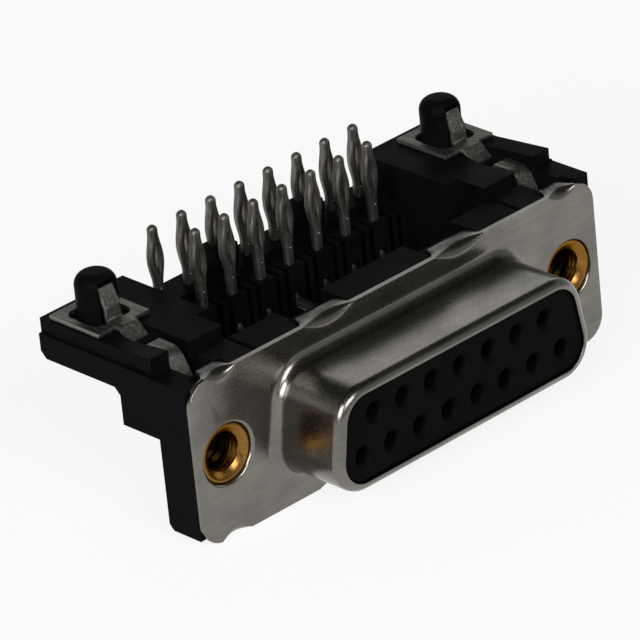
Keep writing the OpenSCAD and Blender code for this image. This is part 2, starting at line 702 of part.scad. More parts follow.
// The comb with its ribbed front wall, which holds the two rows of tails in place
module tail_organiser() {
    front = [for (c = contacts) if (c[1] > 0) c];
    color([0.07, 0.07, 0.07]) difference() {
        union() {
            box([-comb_x, comb_y, comb_z], [comb_x, arm_end_y, comb_front_z]);
            box([-comb_x, comb_y, skirt_z], [comb_x, comb_y + skirt_t, comb_front_z]);
            box([-comb_x, comb_step_y, comb_z], [comb_x, arm_end_y, comb_rear_z]);
            box([-comb_x - tongue_l, tongue_y, comb_front_z - tongue_t],
                [comb_x + tongue_l, tongue_y + tongue_w, comb_front_z]);
            both_sides() box([block_x - block_w / 2, comb_step_y, comb_z],
                [block_x + block_w / 2, comb_step_y + block_l, standoff_z]);
        }
        notch_beside(front[0][0] - pitch);
        for (c = front) {
            notch_beside(c[0]);
            tail_hole(c, tail_w, comb_y - cut, skirt_z - cut, c[1] + bend_r + fit_gap);
        }
        for (c = contacts) {
            tail_hole(c, tail_w, c[2] - tail_t / 2 - fit_gap, skirt_z - cut, seat_z + cut);
            tail_hole(c, eye_w, c[2] - tail_t / 2 - fit_gap, eye_z - eye_l / 2 - fit_gap, seat_z + cut);
        }
    }
}

// Room for one tail in the organiser, as wide as w, from y0 to behind the tail and from z0 to z1
module tail_hole(c, w, y0, z0, z1) {
    box([c[0] - w / 2 - fit_gap, y0, z0], [c[0] + w / 2 + fit_gap, c[2] + tail_t / 2 + fit_gap, z1]);
}

// The notch between a front tail and the next, with its thin rib left standing
module notch_beside(x) {
    mid = x + pitch / 2;
    difference() {
        box([mid - notch_w / 2, comb_y - cut, skirt_z - cut],
            [mid + notch_w / 2, comb_y + notch_d, comb_front_z + cut]);
        box([mid - rib_w / 2, comb_y, skirt_z], [mid + rib_w / 2, comb_y + notch_d, comb_front_z]);
    }
}

function contact_name(k) = str("contact_", k < 9 ? "0" : "", k + 1);

front_shell();
front_insulator();
rear_insulator();
tail_organiser();
mirror([1, 0, 0]) bracket();  // bracket_left
bracket();  // bracket_right
mirror([1, 0, 0]) ground_strap();  // ground_strap_left
ground_strap();  // ground_strap_right
mirror([1, 0, 0]) threaded_insert();  // threaded_insert_left
threaded_insert();  // threaded_insert_right
for (k = [0:len(contacts) - 1]) contact(k);
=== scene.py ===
"""Looks of a right-angle D-sub socket connector: finish, edges, drawn shell, threads and studio."""

import math

import bmesh
import bpy
from bpy.props import FloatProperty, FloatVectorProperty, IntProperty, PointerProperty
from bpy.types import Operator, Panel, PropertyGroup
from mathutils import Matrix, Vector


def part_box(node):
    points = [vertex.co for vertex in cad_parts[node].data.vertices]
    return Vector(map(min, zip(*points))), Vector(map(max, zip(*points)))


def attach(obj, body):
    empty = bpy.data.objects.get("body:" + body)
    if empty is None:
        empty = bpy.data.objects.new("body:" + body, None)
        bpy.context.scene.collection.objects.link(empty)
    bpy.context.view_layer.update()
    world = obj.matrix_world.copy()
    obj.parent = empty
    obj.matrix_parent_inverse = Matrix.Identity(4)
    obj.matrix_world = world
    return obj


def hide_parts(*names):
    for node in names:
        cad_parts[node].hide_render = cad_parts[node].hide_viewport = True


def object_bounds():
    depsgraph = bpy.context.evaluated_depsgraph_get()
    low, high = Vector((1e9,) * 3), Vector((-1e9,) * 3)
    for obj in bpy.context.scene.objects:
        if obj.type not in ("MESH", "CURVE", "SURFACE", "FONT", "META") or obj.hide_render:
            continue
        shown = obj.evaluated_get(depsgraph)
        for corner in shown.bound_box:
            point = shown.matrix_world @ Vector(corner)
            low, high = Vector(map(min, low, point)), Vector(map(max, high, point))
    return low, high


bl_info = {
    "name": "D-sub socket connector",
    "version": (1, 0, 0),
    "blender": (4, 5, 0),
    "location": "View3D > Sidebar > Connector",
    "description": "Dresses the pieces of a right-angle D-sub socket connector",
    "category": "Object",
}

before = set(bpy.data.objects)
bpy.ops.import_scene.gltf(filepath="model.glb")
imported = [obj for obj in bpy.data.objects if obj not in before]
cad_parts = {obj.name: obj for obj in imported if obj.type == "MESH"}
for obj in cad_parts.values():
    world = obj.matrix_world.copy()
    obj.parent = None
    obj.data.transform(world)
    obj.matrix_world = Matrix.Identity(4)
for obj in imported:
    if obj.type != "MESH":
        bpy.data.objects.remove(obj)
CAD_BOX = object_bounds()
MM = 0.001
WELD = MM * 0.001  # distance at which the points of a new piece are merged
NODE_WELD = MM * 0.0005  # and those of a copied node
PLANE_SLACK = MM * 0.0001  # how near a point has to be to lie on a cutting plane
BUMP_DEPTH = 0.00002  # depth of the bumps in all materials, in metres
FLOOR_GLOW = 0.85  # share of plain white in the floor that the camera and reflections see
X, Y, Z = Vector((1, 0, 0)), Vector((0, 1, 0)), Vector((0, 0, 1))
CONTACTS = [f"contact_{k:02d}" for k in range(1, 16)]
SIDES = {"left": -1, "right": 1}


def length(name, description, millimetres):
    return FloatProperty(name=name, description=description, default=millimetres * MM, unit="LENGTH",
                         precision=5, min=0)


def tint(name, description, colour):
    return FloatVectorProperty(name=name, description=description, default=colour, subtype="COLOR",
                               size=3, min=0, max=1)


def amount(name, description, value):
    return FloatProperty(name=name, description=description, default=value, min=0, max=1, subtype="FACTOR")


class ShellSizes(PropertyGroup):
    sheet: length("Sheet", "Thickness of the shell's sheet", 0.4)
    flange_l: length("Flange length", "Length of the flange", 39.14)
    flange_h: length("Flange height", "Height of the flange", 12.5)
    flange_corner: length("Flange corner", "Radius of the flange's corners", 1.8)
    screw_x: length("Screw place", "Distance of each screw hole from the middle", 16.65)
    screw_hole_r: length("Screw hole", "Radius of each screw hole", 2.2)
    roll_r: length("Rolled edge", "Radius of the rolled edge round each screw hole", 0.26)
    d_w: length("D width", "Width of the drawn D at its widest", 24.66)
    d_h: length("D height", "Height of the drawn D", 7.9)
    d_corner: length("D corner", "Radius of the D's corners", 2.6)
    d_depth: length("D depth", "How far the D stands out of the flange", 6.1)
    d_foot_r: length("D foot", "Radius where the D rises from the flange", 0.85)
    d_lip_r: length("D lip", "Radius over which the D's front edge turns inwards", 0.7)
    d_angle: FloatProperty(name="D slope", description="Slope of the D's two sides", subtype="ANGLE",
                           default=math.radians(10))
    tab_bend_r: length("Tab bend", "Outer radius of the folded tabs", 0.85)
    tab_end_y: length("Tab end", "Where the folded tabs end behind the flange's front", 1.5)
    tab_fillet: length("Tab fillet", "Half length over which a tab's end runs into the flange's edge", 0.3)
    outer_tab_x: length("Outer tab place", "Centre of the outer tabs from the middle", 16.6)
    outer_tab_w: length("Outer tab width", "Width of the outer tabs", 2.2)
    inner_tab_x: length("Inner tab place", "Centre of the inner tabs from the middle", 6.35)
    inner_tab_w: length("Inner tab width", "Width of the inner tabs", 4.1)
    edge_r: length("Sheet edge", "Radius of the sheet's cut edges", 0.06)


class InsertSizes(PropertyGroup):
    front_y: length("Front", "Where the insert's rim lies behind the flange's front", 0.22)
    rim_r: length("Rim radius", "Outer radius of the rim", 2.18)
    rim_round: length("Rim rounding", "Radius of the rim's outer edge", 0.12)
    dish_depth: length("Dish depth", "Depth of the dished face between rim and mouth", 0.36)
    outer_r: length("Outer radius", "Outer radius of the insert", 2.12)
    length: length("Length", "Length of the insert", 3.31)
    mouth_r: length("Mouth", "Radius of the mouth inside the dished face", 1.44)
    mouth_depth: length("Mouth depth", "Depth of the turned mouth behind the dished face", 1.0)
    throat_r: length("Throat", "Radius at the bottom of the turned mouth", 1.37)
    groove: length("Turned groove", "Depth of the turned grooves in the mouth", 0.05)
    root_r: length("Thread root", "Radius at the bottom of the thread's groove", 1.42)
    crest_r: length("Thread crest", "Radius at the thread's crests", 1.14)
    pitch: length("Thread pitch", "Distance between neighbouring crests", 0.635)


class TailSizes(PropertyGroup):
    start_y: length("Start", "Where each tail leaves its shank", 3.3)
    shank_r: length("Barrel radius", "Outer radius of the barrel in front of the tail", 0.8)
    width: length("Width", "Width of each tail", 0.7)
    thickness: length("Thickness", "Thickness of each tail", 0.6)
    corner: length("Corner", "Radius of the tail's coined corners", 0.2)
    bend_r: length("Bend", "Radius of the right-angle bend at the tail's middle", 0.8)
    dome_h: length("Tip", "Height of the rounded tip", 0.36)
    eye_below: length("Eye place", "Depth of the eye's middle below the tip", 2.6)
    eye_w: length("Eye width", "Width of the press-fit eye", 1.3)
    eye_l: length("Eye length", "Length of the press-fit eye", 3.8)
    slot_w: length("Slot width", "Width of the slot in the eye", 0.26)
    slot_l: length("Slot length", "Length of the slot in the eye", 2.4)
    dish: length("Dish", "Depth of the coined dish round the slot", 0.14)
    boss_r: length("Boss", "Radius of the small coined boss below the eye", 0.1)
    boss_below: length("Boss place", "Depth of the coined boss below the tip", 4.85)


class EdgeSizes(PropertyGroup):
    housing: length("Housing edges", "Radius of the brackets' moulded edges", 0.12)
    insulator: length("Insulator edges", "Radius of the insulators' moulded edges", 0.08)
    strap: length("Strap edges", "Radius of the ground straps' edges", 0.05)
    segments: IntProperty(name="Edge segments", description="Faces across each rounded edge", default=3,
                          min=1, max=6)


class FitSizes(PropertyGroup):
    foot_up: length("Foot", "How much higher the brackets' feet end than the plain part's", 0.45)
    rail_start: length("Rail start", "Where the outer rails start to rise towards the front", 9.0)
    rail_rise_left: length("Left rail", "Rise of the left outer rail at its front end", 0.2)
    rail_rise_right: length("Right rail", "Rise of the right outer rail at its front end", 0.5)
    block_rise_right: length("Right block", "Rise of the right block's outer top", 0.65)
    crest_more: length("Strap crest", "Added length of the strap's flat crest", 0.4)
    bar_share: amount("Bar", "Share of the bar over the strap that is kept", 0.65)


class Finish(PropertyGroup):
    shell: tint("Shell", "Tin plate of the shell", (0.178, 0.169, 0.151))
    strap: tint("Strap", "Tin plate of the ground straps", (0.1, 0.097, 0.088))
    tail: tint("Tails", "Dull tin plate of the contact tails", (0.18, 0.17, 0.152))
    brass: tint("Brass", "Brass of the threaded inserts", (0.22, 0.112, 0.028))
    housing: tint("Housing", "Black plastic of the brackets", (0.0026, 0.0026, 0.0028))
    insulator: tint("Insulator", "Black plastic of the insulators", (0.0024, 0.0024, 0.0025))


class StageSizes(PropertyGroup):
    azimuth: FloatProperty(name="Azimuth", description="Camera's turn round the connector", subtype="ANGLE",
                           default=math.radians(-41.54))
    elevation: FloatProperty(name="Elevation", description="Camera's height above the horizon",
                             subtype="ANGLE", default=math.radians(26.97))
    roll: FloatProperty(name="Roll", description="Camera's roll", subtype="ANGLE",
                        default=math.radians(-5.91))
    lens: FloatProperty(name="Lens", description="Focal length for a 36 mm sensor", default=349.96, min=1)
    distance: length("Distance", "Distance from camera to flange", 428.9)
    aim_right: FloatProperty(name="Aim right", description="Camera's shift along its own right",
                             unit="LENGTH", default=-5.715 * MM)
    aim_up: FloatProperty(name="Aim up", description="Camera's shift along its own up", unit="LENGTH",
                          default=2.757 * MM)
    floor_size: length("Floor", "Side of the floor", 4000)
    world_level: amount("Wall light", "Strength of the even light from the walls", 0.38)
    ceiling_level: amount("Ceiling light", "Strength of the even light from the ceiling", 0.05)


PROPERTY_GROUPS = {
    "shell_sizes": ShellSizes, "insert_sizes": InsertSizes, "tail_sizes": TailSizes,
    "edge_sizes": EdgeSizes, "fit_sizes": FitSizes, "finish": Finish, "stage_sizes": StageSizes,
}


# Node groups that more than one material uses

def node_group(name, inputs, outputs):
    tree = bpy.data.node_groups.new(name, "ShaderNodeTree")
    for label, value in inputs.items():
        kind = "NodeSocketVector" if value is None else "NodeSocketFloat"
        socket = tree.interface.new_socket(label, in_out="INPUT", socket_type=kind)
        if value is not None:
            socket.default_value = value
    for label, kind in outputs.items():
        tree.interface.new_socket(label, in_out="OUTPUT", socket_type=kind)
    return tree, tree.nodes.new("NodeGroupInput"), tree.nodes.new("NodeGroupOutput")


def add(tree, kind, links=None, **values):
    """A new node: values set its sockets or properties, links maps its inputs to sockets."""
    node = tree.nodes.new(kind)
    for key, value in values.items():
        if hasattr(node, key):
            setattr(node, key, value)
        else:
            node.inputs[key.replace("_", " ")].default_value = value
    for key, source in (links or {}).items():
        tree.links.new(source, node.inputs[key])
    return node


def ramp(tree, source, low, high, low_value=0.0, high_value=1.0):
    """Maps source from low..high to low_value..high_value, clamped."""
    node = tree.nodes.new("ShaderNodeMapRange")
    tree.links.new(source, node.inputs["Value"])
    for key, value in (("From Min", low), ("From Max", high), ("To Min", low_value), ("To Max", high_value)):
        node.inputs[key].default_value = value
    return node.outputs["Result"]


def make_grain():
    """Fine moulded or plated grain: a height, and a slow mask of cleaner and duller patches."""
    tree, start, end = node_group("Grain", {"Vector": None, "Scale": 3000.0, "Patch Scale": 220.0},
                                  {"Height": "NodeSocketFloat", "Patch": "NodeSocketFloat"})
    fine = add(tree, "ShaderNodeTexNoise",
               {"Vector": start.outputs["Vector"], "Scale": start.outputs["Scale"]},
               Detail=3.0, Roughness=0.6)
    slow = add(tree, "ShaderNodeTexNoise",
               {"Vector": start.outputs["Vector"], "Scale": start.outputs["Patch Scale"]}, Detail=4.0)
    tree.links.new(fine.outputs["Fac"], end.inputs["Height"])
    tree.links.new(ramp(tree, slow.outputs["Fac"], 0.35, 0.65), end.inputs["Patch"])
    return tree


def make_specks():
    """Small sparse specks, as of dust on plastic or pits in tin."""
    tree, start, end = node_group("Specks", {"Vector": None, "Scale": 1500.0, "Size": 0.12, "Share": 0.2},
                                  {"Mask": "NodeSocketFloat"})
    cells = add(tree, "ShaderNodeTexVoronoi",
                {"Vector": start.outputs["Vector"], "Scale": start.outputs["Scale"]})
    near = add(tree, "ShaderNodeMath", {0: cells.outputs["Distance"], 1: start.outputs["Size"]},
               operation="LESS_THAN")
    chosen = add(tree, "ShaderNodeSeparateColor", {"Color": cells.outputs["Color"]})
    few = add(tree, "ShaderNodeMath", {0: chosen.outputs["Red"], 1: start.outputs["Share"]},
              operation="LESS_THAN")
    both = add(tree, "ShaderNodeMath", {0: near.outputs[0], 1: few.outputs[0]}, operation="MULTIPLY")
    tree.links.new(both.outputs[0], end.inputs["Mask"])
    return tree


def make_scratches():
    """Long thin scratches along the first axis of the given vector."""
    tree, start, end = node_group("Scratches", {"Vector": None, "Scale": 900.0, "Stretch": 0.06},
                                  {"Mask": "NodeSocketFloat"})
    parts = add(tree, "ShaderNodeSeparateXYZ", {"Vector": start.outputs["Vector"]})
    along = add(tree, "ShaderNodeMath", {0: parts.outputs["X"], 1: start.outputs["Stretch"]},
                operation="MULTIPLY")
    flat = add(tree, "ShaderNodeCombineXYZ",
               {"X": along.outputs[0], "Y": parts.outputs["Y"], "Z": parts.outputs["Z"]})
    lines = add(tree, "ShaderNodeTexNoise", {"Vector": flat.outputs[0], "Scale": start.outputs["Scale"]},
                Detail=5.0, Roughness=0.75)
    tree.links.new(ramp(tree, lines.outputs["Fac"], 0.48, 0.62), end.inputs["Mask"])
    return tree


def shared(name, maker):
    """The node group of that name, made the first time it is asked for."""
    return bpy.data.node_groups.get(name) or maker()


def use_group(tree, group, place, **values):
    node = tree.nodes.new("ShaderNodeGroup")
    node.node_tree = group
    tree.links.new(place, node.inputs["Vector"])
    for key, value in values.items():
        node.inputs[key.replace("_", " ")].default_value = value
    return node


def start_material(name):
    material = bpy.data.materials.new(name)
    material.use_nodes = True
    tree = material.node_tree
    place = tree.nodes.new("ShaderNodeTexCoord").outputs["Object"]
    return material, tree, tree.nodes["Principled BSDF"], place


def shades(tree, mask, colour, dark, light):
    """The colour made darker or lighter by a mask."""
    mix = add(tree, "ShaderNodeMix", {"Factor": mask}, data_type="RGBA")
    mix.inputs["A"].default_value = (*[c * dark for c in colour], 1)
    mix.inputs["B"].default_value = (*[min(1, c * light) for c in colour], 1)
    return mix.outputs["Result"]


def plated(name, colour, rough, pits, scratch, spread=0.15, turn=(0, 0, 0), scratch_scale=2600.0,
           worn_tone=2.2, bump_strength=0.12, painted_shade_span=(1, 2, 1), cut_tone=None, edge_tint=(1, 1, 1)):
    """Plated metal: slow changes of tone, fine pits, and scratches along the turned first axis.

    Shade is painted along Y: a span in mm gives where the darkening starts and ends, and the share of the
    tone that is left.
    The highlight tone, if given, is a painted highlight on the faces that the piece's own attribute marks,
    and edge_tint is the tone of its reflections at a shallow angle.
    """
    material, tree, shader, place = start_material(name)
    depth = add(tree, "ShaderNodeSeparateXYZ", {"Vector": place}).outputs["Y"]
    place = add(tree, "ShaderNodeMapping", {"Vector": place}, Rotation=turn).outputs[0]
    grain = use_group(tree, shared("Grain", make_grain), place, Scale=6000.0, Patch_Scale=260.0)
    pit = use_group(tree, shared("Specks", make_specks), place, Scale=5200.0, Size=0.3, Share=pits)
    line = use_group(tree, shared("Scratches", make_scratches), place, Scale=scratch_scale, Stretch=0.05)
    tone = shades(tree, grain.outputs["Patch"], colour, 1 - spread, 1 + spread)
    worn = add(tree, "ShaderNodeMix", {"A": tone}, data_type="RGBA")
    worn.inputs["B"].default_value = (*[min(1, c * worn_tone) for c in colour], 1)
    share = add(tree, "ShaderNodeMath", {0: line.outputs["Mask"]}, operation="MULTIPLY")
    share.inputs[1].default_value = scratch
    tree.links.new(share.outputs[0], worn.inputs["Factor"])
    # Painted shade: darker along Y between the two depths, down to the given share of the tone.
    painted_shade = add(tree, "ShaderNodeMix", {"Factor": ramp(tree, depth, painted_shade_span[0] * MM, painted_shade_span[1] * MM),
                                       "A": worn.outputs["Result"]}, data_type="RGBA", blend_type="MULTIPLY")
    painted_shade.inputs["B"].default_value = (painted_shade_span[2], painted_shade_span[2], painted_shade_span[2], 1)
    tone = painted_shade.outputs["Result"]
    # Painted highlight: the marked faces get the lighter tone.
    if cut_tone:
        cut = add(tree, "ShaderNodeAttribute", attribute_name="cut").outputs["Fac"]
        bright = add(tree, "ShaderNodeMix", {"Factor": cut, "A": tone}, data_type="RGBA")
        bright.inputs["B"].default_value = (*cut_tone, 1)
        tone = bright.outputs["Result"]
    tree.links.new(tone, shader.inputs["Base Color"])
    tree.links.new(ramp(tree, grain.outputs["Height"], 0.3, 0.7, *rough), shader.inputs["Roughness"])
    height = add(tree, "ShaderNodeMath", {0: grain.outputs["Height"], 1: pit.outputs["Mask"]},
                 operation="SUBTRACT")
    bump = add(tree, "ShaderNodeBump", {"Height": height.outputs[0]}, Strength=bump_strength,
               Distance=BUMP_DEPTH)
    tree.links.new(bump.outputs["Normal"], shader.inputs["Normal"])
    shader.inputs["Metallic"].default_value = 1.0
    shader.inputs["Specular Tint"].default_value = (*edge_tint, 1)
    return material


def moulded(name, colour, rough, level):
    """Black moulded plastic: fine grain, duller patches and a little dust."""
    material, tree, shader, place = start_material(name)
    grain = use_group(tree, shared("Grain", make_grain), place, Scale=9000.0, Patch_Scale=300.0)
    dust = use_group(tree, shared("Specks", make_specks), place, Scale=1700.0, Size=0.07, Share=0.1)
    tone = shades(tree, grain.outputs["Patch"], colour, 1.0, 1.5)
    dusty = add(tree, "ShaderNodeMix", {"Factor": dust.outputs["Mask"], "A": tone}, data_type="RGBA")
    dusty.inputs["B"].default_value = (0.025, 0.025, 0.024, 1)
    tree.links.new(dusty.outputs["Result"], shader.inputs["Base Color"])
    tree.links.new(ramp(tree, grain.outputs["Patch"], 0, 1, rough - 0.05, rough + 0.08),
                   shader.inputs["Roughness"])
    bump = add(tree, "ShaderNodeBump", {"Height": grain.outputs["Height"]}, Strength=0.25,
               Distance=BUMP_DEPTH)
    tree.links.new(bump.outputs["Normal"], shader.inputs["Normal"])
    shader.inputs["Specular IOR Level"].default_value = level
    return material


def finish_of(name):
    """The material of that name, made from the chosen colours the first time it is asked for."""
    finish = bpy.context.scene.finish
    makers = {
        # Painted shade: the shell darkens from 0.4 to 0.9 mm behind its front, to 22 % of its tone, on the
        # folded tabs.
        "shell_tin": lambda: plated(name, finish.shell, rough=(0.17, 0.3), pits=0.35, scratch=0.1,
                                    painted_shade_span=(0.4, 0.9, 0.22)),
        # Painted highlight: the straps' rounded edges and sides facing along X are painted much lighter.
        "sprung_tin": lambda: plated(name, finish.strap, rough=(0.42, 0.6), pits=0.3, scratch=0.8,
                                     spread=0.35, turn=(0, 0, 1.5), scratch_scale=5000.0,
                                     bump_strength=0.3, cut_tone=(0.26, 0.25, 0.23)),
        # Painted shade: the barrels darken from 3.2 to 2.2 mm, to 12 % of their tone, inside the insulator's
        # holes.
        "tail_tin": lambda: plated(name, finish.tail, rough=(0.4, 0.56), pits=0.2, scratch=0.9,
                                   turn=(0, math.pi / 2, 0), scratch_scale=4500.0, worn_tone=0.3,
                                   painted_shade_span=(3.2, 2.2, 0.12)),
        # Painted shade: the bore darkens from 1.3 to 1.7 mm deep, to 2 % of its tone.
        "turned_brass": lambda: plated(name, finish.brass, rough=(0.2, 0.32), pits=0.1, scratch=0.2,
                                       painted_shade_span=(1.3, 1.7, 0.02), edge_tint=(0.5, 0.36, 0.14)),
        "housing_black": lambda: moulded(name, finish.housing, 0.42, 0.012),
        "insulator_black": lambda: moulded(name, finish.insulator, 0.48, 0.012),
    }
    return bpy.data.materials.get(name) or makers[name]()


# Shapes

def piece(bm, name, material, node, smooth_angle=35):
    """Turns a bmesh into a finished piece that rides on the body and stands for its node."""
    bmesh.ops.recalc_face_normals(bm, faces=bm.faces)
    mesh = bpy.data.meshes.new(name)
    for face in bm.faces:
        face.smooth = True
    for edge in bm.edges:
        edge.smooth = edge.is_manifold and edge.calc_face_angle(0) < math.radians(smooth_angle)
    bm.to_mesh(mesh)
    bm.free()
    mesh.materials.append(finish_of(material))
    obj = bpy.data.objects.new(name, mesh)
    bpy.context.scene.collection.objects.link(obj)
    normals = obj.modifiers.new("Flat faces first", "WEIGHTED_NORMAL")
    normals.keep_sharp = True
    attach(obj, "root")
    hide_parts(node)
    return obj


def shift(bm, low, high, move):
    """Moves the points inside a box, given in mm, by a vector in mm that may depend on the point."""
    for v in bm.verts:
        point = v.co / MM
        if all(low[i] < point[i] < high[i] for i in range(3)):
            v.co += Vector(move(point)) * MM


def fit_bracket(bm, s, sign):
    """Raises the bracket's foot, narrows the bar over the strap and lets the outer side rise to the front."""
    bmesh.ops.bisect_plane(bm, geom=[*bm.verts, *bm.edges, *bm.faces], dist=PLANE_SLACK,
                           plane_co=Y * s.rail_start, plane_no=Y)
    shift(bm, (-20, 0, -7), (20, 4, -5.5), lambda p: (0, 0, s.foot_up / MM))
    bar_back, bar_foot, rail_front = 7.55, 6.3, 3.85
    shift(bm, (-17.7, 6.5, 6.25), (17.7, 7.56, 7),
          lambda p: (0, (bar_back - p.y) * (1 - s.bar_share), (bar_foot - p.z) * (1 - s.bar_share)))
    rail, block = (s.rail_rise_right, s.block_rise_right) if sign > 0 else (s.rail_rise_left, 0)
    outer = (17.6, 20) if sign > 0 else (-20, -17.6)
    start = s.rail_start / MM
    shift(bm, (outer[0], 3.8, 6.8), (outer[1], start, 7),
          lambda p: (0, 0, rail / MM * (start - p.y) / (start - rail_front)))
    shift(bm, (outer[0], 0, 5.7), (outer[1], 3.9, 5.9), lambda p: (0, 0, block / MM))


def fit_strap(bm, s):
    """Lengthens the flat crest of the strap towards the bar."""
    crest_back, crest_l = 7.04, 1.18
    shift(bm, (-18, 5.86, 5.85), (18, crest_back, 6.8),
          lambda p: (0, s.crest_more / MM * (crest_back - p.y) / crest_l, 0))


def dressed_copy(node, name, material, edge, segments, fit=None):
    """A node's own shape, corrected by fit and with its edges rounded.

    The rounded faces and those that face along X are marked by an attribute for a painted highlight.
    """
    bm = bmesh.new()
    bm.from_mesh(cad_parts[node].data)
    bmesh.ops.remove_doubles(bm, verts=bm.verts, dist=NODE_WELD)
    bmesh.ops.dissolve_limit(bm, angle_limit=math.radians(1), verts=bm.verts, edges=bm.edges)
    if fit:
        fit(bm)
    cut = bm.faces.layers.float.new("cut")
    sharp = [e for e in bm.edges if e.is_manifold and e.calc_face_angle(0) > math.radians(30)]
    rounded = bmesh.ops.bevel(bm, geom=sharp, offset=edge, offset_type="OFFSET", segments=segments,
                              profile=0.5, affect="EDGES", clamp_overlap=True, material=-1)["faces"]
    bm.normal_update()
    for face in {*rounded, *(f for f in bm.faces if abs(f.normal.x) > 0.7)}:
        face[cut] = 1
    return piece(bm, name, material, node)


def ring_at(bm, centre, radius, y, count):
    """A closed loop of edges round the Y axis."""
    place = Matrix.Translation(centre + Y * y) @ Matrix.Rotation(math.pi / 2, 4, "X")
    ring = bmesh.ops.create_circle(bm, cap_ends=False, radius=radius, segments=count, matrix=place)
    edges = {e for v in ring["verts"] for e in v.link_edges}
    return list(edges)


def grow(bm, edges, offset):
    """Extrudes a loop of edges by a vector and gives the new edges."""
    made = bmesh.ops.extrude_edge_only(bm, edges=edges)["geom"]
    verts = [g for g in made if isinstance(g, bmesh.types.BMVert)]
    bmesh.ops.translate(bm, vec=offset, verts=verts)
    return [g for g in made if isinstance(g, bmesh.types.BMEdge)]


def scale_round(bm, edges, centre, factor):
    verts = list({v for e in edges for v in e.verts})
    bmesh.ops.scale(bm, vec=(factor, 1, factor), space=Matrix.Translation(-centre), verts=verts)


def arc_points(centre, radius, start, end, steps):
    """Points of an arc in a plane; angles in degrees."""
    turns = [math.radians(start + (end - start) * i / steps) for i in range(steps + 1)]
    return [(centre[0] + radius * math.cos(t), centre[1] + radius * math.sin(t)) for t in turns]


def chain(bm, points):
    """A chain of edges through the points."""
    verts = [bm.verts.new(p) for p in points]
    return [bm.edges.new(pair) for pair in zip(verts, verts[1:])]


class DOutline:
    """The D's four corner centres, with the angles between which each corner turns."""

    def __init__(self, s):
        high = s.d_h / 2 - s.d_corner
        low_x = s.d_w / 2 - s.d_corner
        high_x = low_x - 2 * high * math.tan(s.d_angle)
        slope = math.degrees(s.d_angle)
        self.radius = s.d_corner
        self.corners = [
            (Vector((high_x, 0, high)), slope, 90), (Vector((-high_x, 0, high)), 90, 180 - slope),
            (Vector((-low_x, 0, -high)), 180 - slope, 270), (Vector((low_x, 0, -high)), 270, 360 + slope),
        ]


def drawn_d(bm, s, steps=14):
    """The D's sheet: its section is spun round each corner and run straight between them."""
    d = DOutline(s)
    foot = (s.d_foot_r, -s.d_foot_r)
    lip = (-s.d_lip_r, s.d_lip_r - s.d_depth)
    section = (arc_points(foot, s.d_foot_r, 90, 180, 10) + arc_points(lip, s.d_lip_r, 0, -90, 10)
               + arc_points(lip, s.d_lip_r - s.sheet, -90, 0, 6)
               + arc_points(foot, s.d_foot_r + s.sheet, 180, 90, 10))
    centre, start, _ = d.corners[0]
    out = Vector((math.cos(math.radians(start)), 0, math.sin(math.radians(start))))
    edges = chain(bm, [centre + out * (d.radius + o) + Y * y for o, y in section])
    for i, (centre, start, end) in enumerate(d.corners):
        verts = list({v for e in edges for v in e.verts})
        spun = bmesh.ops.spin(bm, geom=verts + edges, cent=centre, axis=-Y, steps=steps,
                              angle=math.radians(end - start), use_merge=False)["geom_last"]
        edges = [g for g in spun if isinstance(g, bmesh.types.BMEdge)]
        following = d.corners[(i + 1) % 4][0]
        edges = grow(bm, edges, following - centre)


def tab_places(s):
    """Middle and width of each tab along one edge of the flange, from left to right."""
    kinds = ((s.outer_tab_x, s.outer_tab_w), (s.inner_tab_x, s.inner_tab_w))
    return sorted((side * x, w) for side in SIDES.values() for x, w in kinds)


def tab_depth(s):
    """Depth of the flange's edge that each tab's own mesh takes the place of."""
    return s.tab_bend_r + 2 * s.edge_r


def front_outline(s):
    """The flange's outline as points of X and Z, with a notch where each tab is."""
    w, h, r = s.flange_l / 2, s.flange_h / 2, s.flange_corner
    bottom = []
    for x, tab_w in tab_places(s):
        a, b, low = x - tab_w / 2 - s.tab_fillet, x + tab_w / 2 + s.tab_fillet, tab_depth(s) - h
        bottom += [(a, -h), (a, low), (b, low), (b, -h)]
    right = arc_points((w - r, -h + r), r, -90, 0, 8) + arc_points((w - r, h - r), r, 0, 90, 8)
    top = [(x, -z) for x, z in reversed(bottom)]
    left = arc_points((r - w, h - r), r, 90, 180, 8) + arc_points((r - w, r - h), r, 180, 270, 8)
    notch = bottom[-1][0] + MM * 0.01
    return bottom + [p for p in right if p[0] > notch] + top + [p for p in left if p[0] < -notch]


def closed_chain(bm, points):
    verts = [bm.verts.new(p) for p in points]
    return [bm.edges.new((a, b)) for a, b in zip(verts, verts[1:] + verts[:1])]


def build_flange(bm, s):
    """The flange: front and back faces with their holes, the edge walls, the rolled rings and a notch for
    each tab.
    """
    outline = closed_chain(bm, [Vector((x, 0, z)) for x, z in front_outline(s)])
    back_outline = grow(bm, outline, Y * s.sheet)
    d = DOutline(s)
    loops = {0.0: list(outline), s.sheet: list(back_outline)}
    for y in loops:
        points = []
        for centre, start, end in d.corners:
            points += [Vector((centre.x + x, y, centre.z + z))
                       for x, z in arc_points((0, 0), d.radius + s.d_foot_r, start, end, 14)]
        loops[y] += closed_chain(bm, points)
    for side in SIDES.values():
        centre = X * s.screw_x * side
        edges = ring_at(bm, centre, s.screw_hole_r + s.roll_r, 0, 64)
        loops[0.0] += edges
        for x, y in arc_points((s.roll_r, s.roll_r), s.roll_r, 270, 180, 6)[1:]:
            old_r = (edges[0].verts[0].co - centre).xz.length
            old_y = edges[0].verts[0].co.y
            edges = grow(bm, edges, Y * (y - old_y))
            scale_round(bm, edges, centre, (s.screw_hole_r + x) / old_r)
        edges = grow(bm, edges, Y * (s.sheet - edges[0].verts[0].co.y))
        loops[s.sheet] += edges
    for y, edges in loops.items():
        bmesh.ops.triangle_fill(bm, edges=edges, use_beauty=True, normal=-Y if y == 0 else Y)


